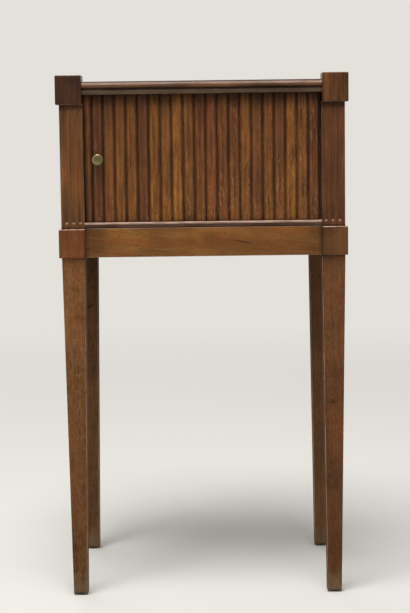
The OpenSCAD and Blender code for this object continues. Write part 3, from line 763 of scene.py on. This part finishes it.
class BEDSIDE_OT_legs(bpy.types.Operator):
    """Makes the four fluted posts with their tapered legs"""

    bl_idname = "bedside.legs"
    bl_label = "Posts and legs"

    # woods of the leg, the block, the shaft and the cap, and how calm their grain is
    WOOD = {
        "front_left": (
            ("dry_tawny", 0.15), ("red", 0.95), ("golden_brown", -0.6), ("near_black", 0.3)),
        "front_right": (
            ("dry_brown", 0.7), ("chestnut", 0.95), ("russet", -1), ("ember", -0.8)),
        "rear_left": (("dry_dark", 0.75), ("dark", 0.6), ("umber", 0), ("dark", 0.6)),
        "rear_right": (("dry_umber", 0.75), ("dark", 0.6), ("umber", 0), ("dark", 0.6)),
    }
    # painted light and shade on the legs, how bright they are at the floor and at the top: the
    # front ones darker downwards, the rear ones darker under the case
    LEG_SHADE = {"front": (0.66, 1.06), "rear": (1.2, 0.85)}
    MARKS = {
        "front": (
            (0.178, 0.2745, 6 * MM, 4.6 * MM, 0, 0.75),  # a knot
            (0.170, 0.513, 16 * MM, 14 * MM, 0, 0.25),  # stains on both blocks
            (-0.201, 0.513, 2.6 * MM, 24 * MM, 0, 0.55),
            (-0.177, 0.724, 13 * MM, 9 * MM, 0, 0.4)),  # and on the left cap
        "rear": ((-0.1775, 0.386, 10 * MM, 2.2 * MM, -28, 0.9),),  # a scar
    }

    def execute(self, context):
        use = sizes()
        inner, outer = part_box("leg_front_right")
        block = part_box("apron_front")[0].z - use.block_drop
        cap = outer.z - use.cap_height
        # lines of painted shade, with some dirt: round the foot, at the block's edges, under the
        # cap, and beside the slats and aprons
        shade_and_dirt_lines = (
            (2, inner.z, 3.5 * MM, 0.5),  # round the foot
            (2, block, 3 * MM, 0.4),  # at the block's lower and upper edges
            (2, block + use.block_height + 1.7 * MM, 1.7 * MM, 0.55),
            (2, cap - 3 * MM, 7 * MM, 0.65),  # under the cap
            (0, inner.x, 3.6 * MM, 0.45))  # beside the slats and aprons
        materials = {
            row: mahogany(f"mahogany_{row}_post", 2, streak=2.0 * MM, cloud=8 * MM,
                          contrast=1.1, leg_wear_and_shade=self.LEG_SHADE[row], shade_and_dirt_lines=shade_and_dirt_lines,
                          marks=self.MARKS[row])
            for row in ("front", "rear")}
        for i, corner in enumerate(CORNERS):
            leg(corner, materials[corner.split("_")[0]], self.WOOD[corner], 3.7 * i)
        return {"FINISHED"}


class BEDSIDE_OT_glides(bpy.types.Operator):
    """Makes the domed nail-on glides under the feet"""

    bl_idname = "bedside.glides"
    bl_label = "Glides"

    def execute(self, context):
        material = dull_steel("worn_steel_glide", "#5a5854", 0.4)
        for corner in CORNERS:
            node = "glide_" + corner
            low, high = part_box(node)
            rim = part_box("leg_" + corner)[0].z
            dome, nail = 12 * MM, 1.2 * MM  # radius of each
            centre = rim + math.sqrt(dome ** 2 - ((high.x - low.x) / 2) ** 2)
            start, end = (
                math.degrees(math.asin((z - centre) / dome)) for z in (0, rim))
            profile = [(0, low.z)] + arc((0, centre), dome, start, end, 10)
            profile += [(nail, rim), (nail, high.z), (0, high.z)]
            bm = bmesh.new()
            middle = (low + high) / 2
            turned(bm, profile, 48, Matrix.Translation((middle.x, middle.y, 0)))
            piece(node, "steel", bm, material)
        return {"FINISHED"}


# ---- aprons, boards and panels ----

class BEDSIDE_OT_aprons(bpy.types.Operator):
    """Makes the four aprons, tenoned into the blocks"""

    bl_idname = "bedside.aprons"
    bl_label = "Aprons"

    # on the front: a dark streak in the grain, and old dirt towards the ends
    MARKS = (
        (0.0545, 0.5005, 15 * MM, 1.9 * MM, 13, 0.6),
        (-0.166, 0.5, 40 * MM, 60 * MM, 0, 0.36),
        (0.166, 0.5, 34 * MM, 60 * MM, 0, 0.32),
    )
    HALF_TENON, SHOULDER = 4 * MM, 5 * MM

    def execute(self, context):
        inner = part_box("leg_front_right")
        span = Vector((inner[0].x, -inner[1].y, 0))
        for i, side in enumerate(("front", "rear", "left", "right")):
            node = "apron_" + side
            low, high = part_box(node)
            run = 0 if side in ("front", "rear") else 1
            front = side == "front"
            # dirt and painted shade at the joints with the blocks, and painted shade under the
            # floor board's edge
            material = mahogany(
                "mahogany_" + node, run, streak=2.6 * MM, reach=90 * MM, figure=0.65,
                tilt=7 if front else 0, marks=self.MARKS if front else (),
                shade_and_dirt_lines=((run, span[run], 8 * MM, 0.55), (run, span[run], 1.5 * MM, 0.6),
                       (2, high.z, 2 * MM, 0.4)))
            near, far = low.copy(), high.copy()
            near[run], far[run] = -span[run], span[run]
            bm = bmesh.new()
            verts = cuboid(bm, near, far)
            upper = {e for e in edges_of(verts) if min(v.co.z for v in e.verts) > near.z + MM
                     and not along_z(e)}
            ease(bm, upper, 0.8 * MM, wear_and_highlight=0.25)
            ease(bm, {e for e in bm.edges if e.calc_face_angle(0) > SHARP}, 0.8 * MM, wear_and_highlight=0.3)
            # the tenon runs through, so that both ends have one
            cross = 1 - run
            middle = (low[cross] + high[cross]) / 2
            near, far = low.copy(), high.copy()
            near[cross], far[cross] = middle - self.HALF_TENON, middle + self.HALF_TENON
            near.z, far.z = low.z + self.SHOULDER, high.z - self.SHOULDER
            cuboid(bm, near, far)
            piece(node, "wood", bm, material, 20 + 5.3 * i, "orange" if front else "red")
        return {"FINISHED"}


class BEDSIDE_OT_boards(bpy.types.Operator):
    """Makes the floor board, the track board and the top board with their moulded edges"""

    bl_idname = "bedside.boards"
    bl_label = "Boards"

    # the boards with moulded edges: wood, height of the bead with a painted highlight, face
    # along which painted shade lies (0 for the lower, 1 for the upper), how far it reaches, and
    # stains
    MOULDED = {
        "floor_board": ("weathered", 2.9 * MM, 0, 2.2 * MM, ()),
        "track_board": (
            "smoked", 0, 1, 3.3 * MM, ((0.125, 0.717, 75 * MM, 20 * MM, 0, 0.33),)),
    }

    def execute(self, context):
        for i, (node, row) in enumerate(self.MOULDED.items()):
            wood, bead, shaded_face, reach, stains = row
            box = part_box(node)
            high = box[1]
            # a line of painted shade along the lower face of the floor board and the upper face
            # of the track board
            material = mahogany("mahogany_" + node, 0, streak=1.6 * MM, marks=stains,
                                shade_and_dirt_lines=((2, box[shaded_face].z, reach, 0.85),))
            bm = eased_copy(node, 0.3 * MM)
            worn = layer(bm.faces, "worn")
            # the top of the floor board's bead is painted pale, a painted highlight
            for face in bm.faces:
                at = face.calc_center_median()
                depth = min(high.x - abs(at.x), high.y - abs(at.y))
                if at.z > high.z - bead and depth < 1.7 * MM:
                    face[worn] = 0.82
            piece(node, "wood", bm, material, 40 + 3 * i, wood)
        self.top_board()
        return {"FINISHED"}

    def top_board(self):
        """The top board: notched round the caps, with a half-round edge."""
        low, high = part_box("top_board")
        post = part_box("leg_rear_right")[0]
        x, y = high.x, high.y
        play = 0.1 * MM
        in_x, in_y = post.x + sizes().cap_in - play, post.y + sizes().cap_in - play
        outline = [
            (in_x, -y), (in_x, -in_y), (x, -in_y), (x, in_y), (in_x, in_y), (in_x, y),
            (-in_x, y), (-in_x, in_y), (-x, in_y), (-x, -in_y), (-in_x, -in_y), (-in_x, -y)]
        bm = bmesh.new()
        prism(bm, outline, low.z, high.z)
        nosing = [e for e in bm.edges if not along_z(e) and (
            all(abs(abs(v.co.x) - x) < SAME_PLACE for v in e.verts)
            or all(abs(abs(v.co.y) - y) < SAME_PLACE for v in e.verts))]
        bmesh.ops.bevel(
            bm, geom=nosing, offset=(high.z - low.z) / 2 - 0.05 * MM, offset_type="OFFSET",
            affect="EDGES", segments=8, profile=0.5, material=-1, clamp_overlap=True)
        # a dark line of painted shade lies where the flat turns into the edge, and a pale band of
        # painted highlight under it: how many millimetres below the flat each lies
        grime_and_shade, worn = layer(bm.verts, "grime_and_shade"), layer(bm.faces, "worn")
        for v in bm.verts:
            drop = (high.z - v.co.z) / MM
            if 0.02 < drop < 2.5:
                v[grime_and_shade] = 0.65 if drop < 1.6 else 0.45
        for face in bm.faces:
            drop = (high.z - face.calc_center_median().z) / MM
            if 2.9 < drop < 4.8:
                face[worn] = 0.72 if drop < 4 else 0.4
        # the flat of the board is redder than the edge, whose rosy tone is partly a painted sheen
        tint(bm, "red", above=high.z - 0.1 * MM)
        tint(bm, "rosy", above=high.z - 4.5 * MM)
        # a line of painted shade under the board's edge
        material = mahogany(
            "mahogany_top", 0, cloud=13 * MM, reach=260 * MM, figure=0.4, contrast=0.8,
            polish=0.2, shine=1.42, shade_and_dirt_lines=((2, low.z, 4.6 * MM, 0.78),))
        piece("top_board", "wood", bm, material, 45, "brown")


class BEDSIDE_OT_panels(bpy.types.Operator):
    """Makes the side and back panels and finishes the inner panels"""

    bl_idname = "bedside.panels"
    bl_label = "Panels"

    def execute(self, context):
        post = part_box("leg_rear_right")[0]
        low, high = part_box("back_panel")
        # darker along the panels' lower and upper edges and beside the rear posts
        material = mahogany(
            "mahogany_panel", 2, streak=3 * MM, cloud=24 * MM, reach=200 * MM, figure=0.5,
            shade_and_dirt_lines=((2, low.z, 4 * MM, 0.5), (2, high.z, 6 * MM, 0.5), (1, post.y, 3 * MM, 0.5)))
        for i, (node, wood) in enumerate((
                ("side_panel_left", "red"), ("side_panel_right", "red"),
                ("back_panel", "umber"))):
            bm = bmesh.new()
            ease(bm, edges_of(cuboid(bm, *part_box(node))), 0.3 * MM)
            piece(node, "wood", bm, material, 50 + 2.9 * i, wood)
        lining = raw_poplar("raw_poplar_lining", 2)
        for node in ("inner_side", "inner_back"):
            dress(node, lining)
        return {"FINISHED"}


class BEDSIDE_OT_fixings(bpy.types.Operator):
    """Finishes the glue blocks and screws, which lie under and inside the case"""

    bl_idname = "bedside.fixings"
    bl_label = "Glue blocks and screws"

    def execute(self, context):
        for run, sides in enumerate((("front", "rear"), ("left", "right"))):
            material = raw_poplar("raw_poplar_block_" + "xy"[run], run)
            for side in sides:
                dress("glue_block_" + side, material)
        steel = dull_steel("dull_steel_screw", "#8c8880", 0.42)
        for node in ("glue_block_screws", "top_screws", "knob_screw"):
            dress(node, steel)
        return {"FINISHED"}


# ---- the tambour ----

class BEDSIDE_OT_slats(bpy.types.Operator):
    """Makes the slats of the tambour door, each with its own tone of wood"""

    bl_idname = "bedside.slats"
    bl_label = "Slats"

    # woods of each slat from the left, at its head and at its foot
    WOOD = (
        ("pink", "russet"), ("umber", "umber"), ("russet", "honey"), ("pink", "bright"),
        ("gold", "ember"), ("umber", "russet"), ("gold", "gold"), ("golden_brown", "gold"),
        ("bright", "bright"), ("bright", "chestnut"), ("red", "ember"), ("ruddy", "ruddy"),
        ("ember", "ruddy"), ("ruddy", "honey"), ("gold", "honey"), ("russet", "honey"),
        ("ruddy", "bright"), ("umber", "honey"), ("gold", "bright"), ("ember", "honey"),
        ("red", "umber"))

    def execute(self, context):
        inner_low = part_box("floor_board")[1].z
        inner_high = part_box("track_board")[0].z
        material = mahogany(
            "mahogany_slat", 2, streak=1.5 * MM, reach=70 * MM, cloud=5 * MM, figure=0.4,
            contrast=1.5, flecks=0.5, yellowed=True,
            # a painted shadow round the knob
            marks=((-0.1445, 0.6145, 8.5 * MM, 9 * MM, 0, 0.5),),
            # painted shadow under the track board, and painted shade above the floor board and
            # beside the posts
            shade_and_dirt_lines=((2, inner_high, 22 * MM, 0.65), (2, inner_high, 120 * MM, 0.14),
                   (2, inner_low, 4 * MM, 0.4),
                   (0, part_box("leg_front_right")[0].x, 5.7 * MM, 0.9)))
        chance = random.Random(7)
        for i, node in enumerate(SLATS):
            low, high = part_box(node)
            bm = bmesh.new()
            self.slat(bm, low, high, inner_low, inner_high)
            head, foot = self.WOOD[i % len(self.WOOD)]
            tint(bm, head, above=(inner_low + inner_high) / 2)
            made = piece(node, "wood", bm, material, chance.uniform(60, 160), foot)
            gather(made, node)
        return {"FINISHED"}

    def slat(self, bm, low, high, inner_low, inner_high):
        """A crowned strip with rounded edges, and a thinner tongue on each end."""
        use = sizes()
        gap = 0.3 * MM
        verts = cuboid(bm, (low.x, low.y, inner_low + gap), (high.x, high.y, inner_high - gap))
        across = [e for e in edges_of(verts) if abs(e.verts[0].co.x - e.verts[1].co.x) > MM]
        bmesh.ops.subdivide_edges(bm, edges=across, cuts=11, use_grid_fill=True)
        middle = (low.x + high.x) / 2
        r = use.slat_crown
        for v in bm.verts:
            if v.co.y < low.y + 0.1 * MM:
                v.co.y += r - math.sqrt(r ** 2 - (v.co.x - middle) ** 2)
        corners = [e for e in bm.edges if along_z(e) and e.verts[0].co.y < high.y - MM
                   and abs(e.verts[0].co.x - middle) > (high.x - low.x) / 2 - 0.01 * MM]
        bmesh.ops.bevel(
            bm, geom=corners, offset=use.slat_edge * 0.8, offset_type="OFFSET",
            affect="EDGES", segments=5, profile=0.5, material=-1, clamp_overlap=False)
        # painted shade and old wax in the valleys between the slats, and a painted highlight on
        # their shoulders
        grime_and_shade, shoulder_highlight = (layer(bm.verts, n) for n in ("grime_and_shade", "shoulder_highlight"))
        for v in bm.verts:
            off = abs(v.co.x - middle + 0.4 * MM)
            v[grime_and_shade] = 0.95 * min(1, max(0, (off - 4 * MM) / (3.7 * MM))) ** 1.4
            v[shoulder_highlight] = 0.09 * max(0, 1 - abs(off - 3.8 * MM) / (1.8 * MM))
        depth = (low.y + high.y) / 2
        half = use.tongue_thickness / 2
        cuboid(bm, (low.x + gap, depth - half, low.z), (high.x - gap, depth + half, high.z))


def gather(made, node):
    """Gives a mesh of its own to each piece off the leading body: all but the leading slats
    and their canvas, which gather towards the slot beside the right-hand post as the door opens."""
    if BODY_OF[node] != LEAD:
        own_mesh(made)


class BEDSIDE_OT_canvas(bpy.types.Operator):
    """Makes the canvas that holds the slats together"""

    bl_idname = "bedside.canvas"
    bl_label = "Canvas"

    def execute(self, context):
        material = cotton_canvas("cotton_canvas")
        for node in ("canvas_lead", "canvas"):
            low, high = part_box(node)
            bm = bmesh.new()
            verts = cuboid(bm, low, high)
            across = [e for e in edges_of(verts) if abs(e.verts[0].co.x - e.verts[1].co.x) > MM]
            rests = [n + "_wood" for n in SLATS if BODY_OF[n] == BODY_OF[node]]
            # four strips to a slat
            bmesh.ops.subdivide_edges(
                bm, edges=across, cuts=4 * len(rests) - 1, use_grid_fill=True)
            made = piece(node, "cloth", bm, material)
            gather(made, node)
        return {"FINISHED"}


class BEDSIDE_OT_knob(bpy.types.Operator):
    """Turns the brass knob of the door"""

    bl_idname = "bedside.knob"
    bl_label = "Knob"

    def execute(self, context):
        low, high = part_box("knob")
        out = high.y - low.y
        radius = (high.x - low.x) / 2
        # radii of the rounded rim, the stem, its foot and the hollow in the face
        rim, stem, foot, hollow = 1.6 * MM, 4.5 * MM, 5.1 * MM, 5.4 * MM
        cove = radius - rim - stem
        step, deep = out - 0.35 * MM, 0.95 * MM
        profile = [(0, 0), (foot, 0), (foot, 0.9 * MM), (foot - 0.3 * MM, 1.2 * MM),
                   (stem, 1.5 * MM)]
        profile += arc((radius - rim, out - 2 * rim - cove), cove, 180, 90, 6)
        profile += arc((radius - rim, out - rim), rim, -90, 90, 12)[1:]
        profile += [(hollow + 0.5 * MM, out - 0.1 * MM), (hollow, step)]
        profile += [(hollow * (1 - t / 6), step - deep * math.sin(math.radians(15 * t)))
                    for t in range(1, 7)]
        bm = bmesh.new()
        middle = (low + high) / 2
        place = Matrix.Translation((middle.x, high.y, middle.z)) @ Matrix.Rotation(
            math.pi / 2, 4, "X")
        turned(bm, profile, 56, place)
        dull = layer(bm.verts, "hollow")
        for v in bm.verts:
            off_axis = math.hypot(v.co.x - middle.x, v.co.z - middle.z)
            # a painted highlight on the upper left of the rim, and painted shade towards its
            # lower right; the hollow and the stem get olive patina
            away = (v.co.x - v.co.z - middle.x + middle.z) / radius
            v[dull] = 0.6 if off_axis < hollow + 0.1 * MM else 0.3 + 0.4 * away
        piece("knob", "brass", bm, aged_brass("aged_brass"))
        return {"FINISHED"}


# ---- stage ----

class BEDSIDE_OT_stage(bpy.types.Operator):
    """Sets the floor, the light and the camera"""

    bl_idname = "bedside.stage"
    bl_label = "Floor, light and camera"

    def execute(self, context):
        self.floor()
        self.light()
        self.camera()
        return {"FINISHED"}

    def floor(self):
        """A pale floor that fades into the background, so that no horizon shows."""
        tone = finishes().backdrop
        bm = bmesh.new()
        bmesh.ops.create_circle(bm, cap_ends=True, segments=96, radius=6)
        material, node, where = blank("pale_floor")
        far = node("VectorMath", (where,), operation="LENGTH")
        fade = node("MapRange", (far, 0.9, 3.2), **SMOOTH)
        matt = node("BsdfPrincipled", {"Base Color": (*tone, 1), "Roughness": 0.8})
        faded = node("MixShader", (fade, matt, node("BsdfTransparent")))
        node("OutputMaterial", {"Surface": faded})
        placed("floor", bm, material)

    def light(self):
        """A soft even room with a broad light overhead and a little in front and behind."""
        tone = finishes().backdrop
        scene = bpy.context.scene
        world = bpy.data.worlds.new("studio")
        scene.world = world
        world.use_nodes = True
        world.node_tree.nodes.clear()
        node = functools.partial(add, world.node_tree)
        up = node("TexCoord").outputs["Generated"]
        up = node("SeparateXYZ", (up,)).outputs["Z"]
        level = node("MapRange", (up, -0.1, 0.9, 0.12, 0.45))
        room = node("Background", {"Color": (1, 1, 1, 1), "Strength": level})
        backdrop = node("Background", {"Color": (*tone, 1), "Strength": 1.0})
        ray = node("LightPath").outputs
        shown = node("Math", (ray["Is Camera Ray"], ray["Is Transmission Ray"]),
                     operation="MAXIMUM")
        shown = node("Math", (shown, ray["Is Glossy Ray"]), operation="MAXIMUM")
        seen = node("MixShader", (shown, room, backdrop))
        node("OutputWorld", {"Surface": seen})
        middle = Vector((0, 0, 0.5))
        for name, place, size, watts in (
                ("overhead", (-0.5, -1.5, 4.3), 2.2, 158),
                ("front", (1.2, -3.2, 2.2), 1.2, 10),
                ("rear", (-1.4, 2.6, 3.4), 2.8, 26)):
            lamp = bpy.data.lights.new(name, "AREA")
            lamp.shape, lamp.size, lamp.energy = "SQUARE", size, watts
            made = bpy.data.objects.new(name, lamp)
            made.location = place
            aim = middle - made.location
            made.rotation_euler = aim.to_track_quat("-Z", "Y").to_euler()
            scene.collection.objects.link(made)

    def camera(self):
        """The photograph's viewpoint, worked out from the table's own corners and edges."""
        lens = bpy.data.cameras.new("camera")
        lens.lens, lens.sensor_width = 94.19, 36
        lens.clip_start, lens.clip_end = 0.05, 50
        made = bpy.data.objects.new("camera", lens)
        down, roll, turn = (math.radians(a) for a in (5.971, -0.727, -0.066))
        made.matrix_world = (
            Matrix.Translation((-0.0017, -2.3647, 0.6428))
            @ Matrix.Rotation(turn, 4, "Z")
            @ Matrix.Rotation(math.pi / 2 - down, 4, "X")
            @ Matrix.Rotation(roll, 4, "Z"))
        scene = bpy.context.scene
        scene.collection.objects.link(made)
        scene.camera = made
        scene.view_settings.view_transform = "Standard"


OPERATORS = (
    BEDSIDE_OT_legs, BEDSIDE_OT_glides, BEDSIDE_OT_aprons, BEDSIDE_OT_boards,
    BEDSIDE_OT_panels, BEDSIDE_OT_fixings, BEDSIDE_OT_slats, BEDSIDE_OT_canvas,
    BEDSIDE_OT_knob, BEDSIDE_OT_stage)


class BEDSIDE_PT_panel(bpy.types.Panel):
    """Lists the pieces, sizes and finishes of the bedside table"""

    bl_idname = "BEDSIDE_PT_panel"
    bl_label = "Bedside Table"
    bl_space_type = "VIEW_3D"
    bl_region_type = "UI"
    bl_category = "Bedside Table"

    def draw(self, context):
        layout = self.layout
        for group in (context.scene.bedside_sizes, context.scene.bedside_finishes):
            for name in group.__annotations__:
                layout.prop(group, name)
        for operator in OPERATORS:
            layout.operator(operator.bl_idname)


CLASSES = (BedsideSizes, BedsideFinishes, *OPERATORS, BEDSIDE_PT_panel)


def register():
    for item in CLASSES:
        bpy.utils.register_class(item)
    bpy.types.Scene.bedside_sizes = PointerProperty(type=BedsideSizes)
    bpy.types.Scene.bedside_finishes = PointerProperty(type=BedsideFinishes)


def unregister():
    del bpy.types.Scene.bedside_finishes
    del bpy.types.Scene.bedside_sizes
    for item in reversed(CLASSES):
        bpy.utils.unregister_class(item)


def main():
    register()
    bpy.ops.bedside.legs()
    bpy.ops.bedside.glides()
    bpy.ops.bedside.aprons()
    bpy.ops.bedside.boards()
    bpy.ops.bedside.panels()
    bpy.ops.bedside.fixings()
    bpy.ops.bedside.slats()
    bpy.ops.bedside.canvas()
    bpy.ops.bedside.knob()
    bpy.ops.bedside.stage()
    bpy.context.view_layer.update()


if __name__ == "__main__":
    main()
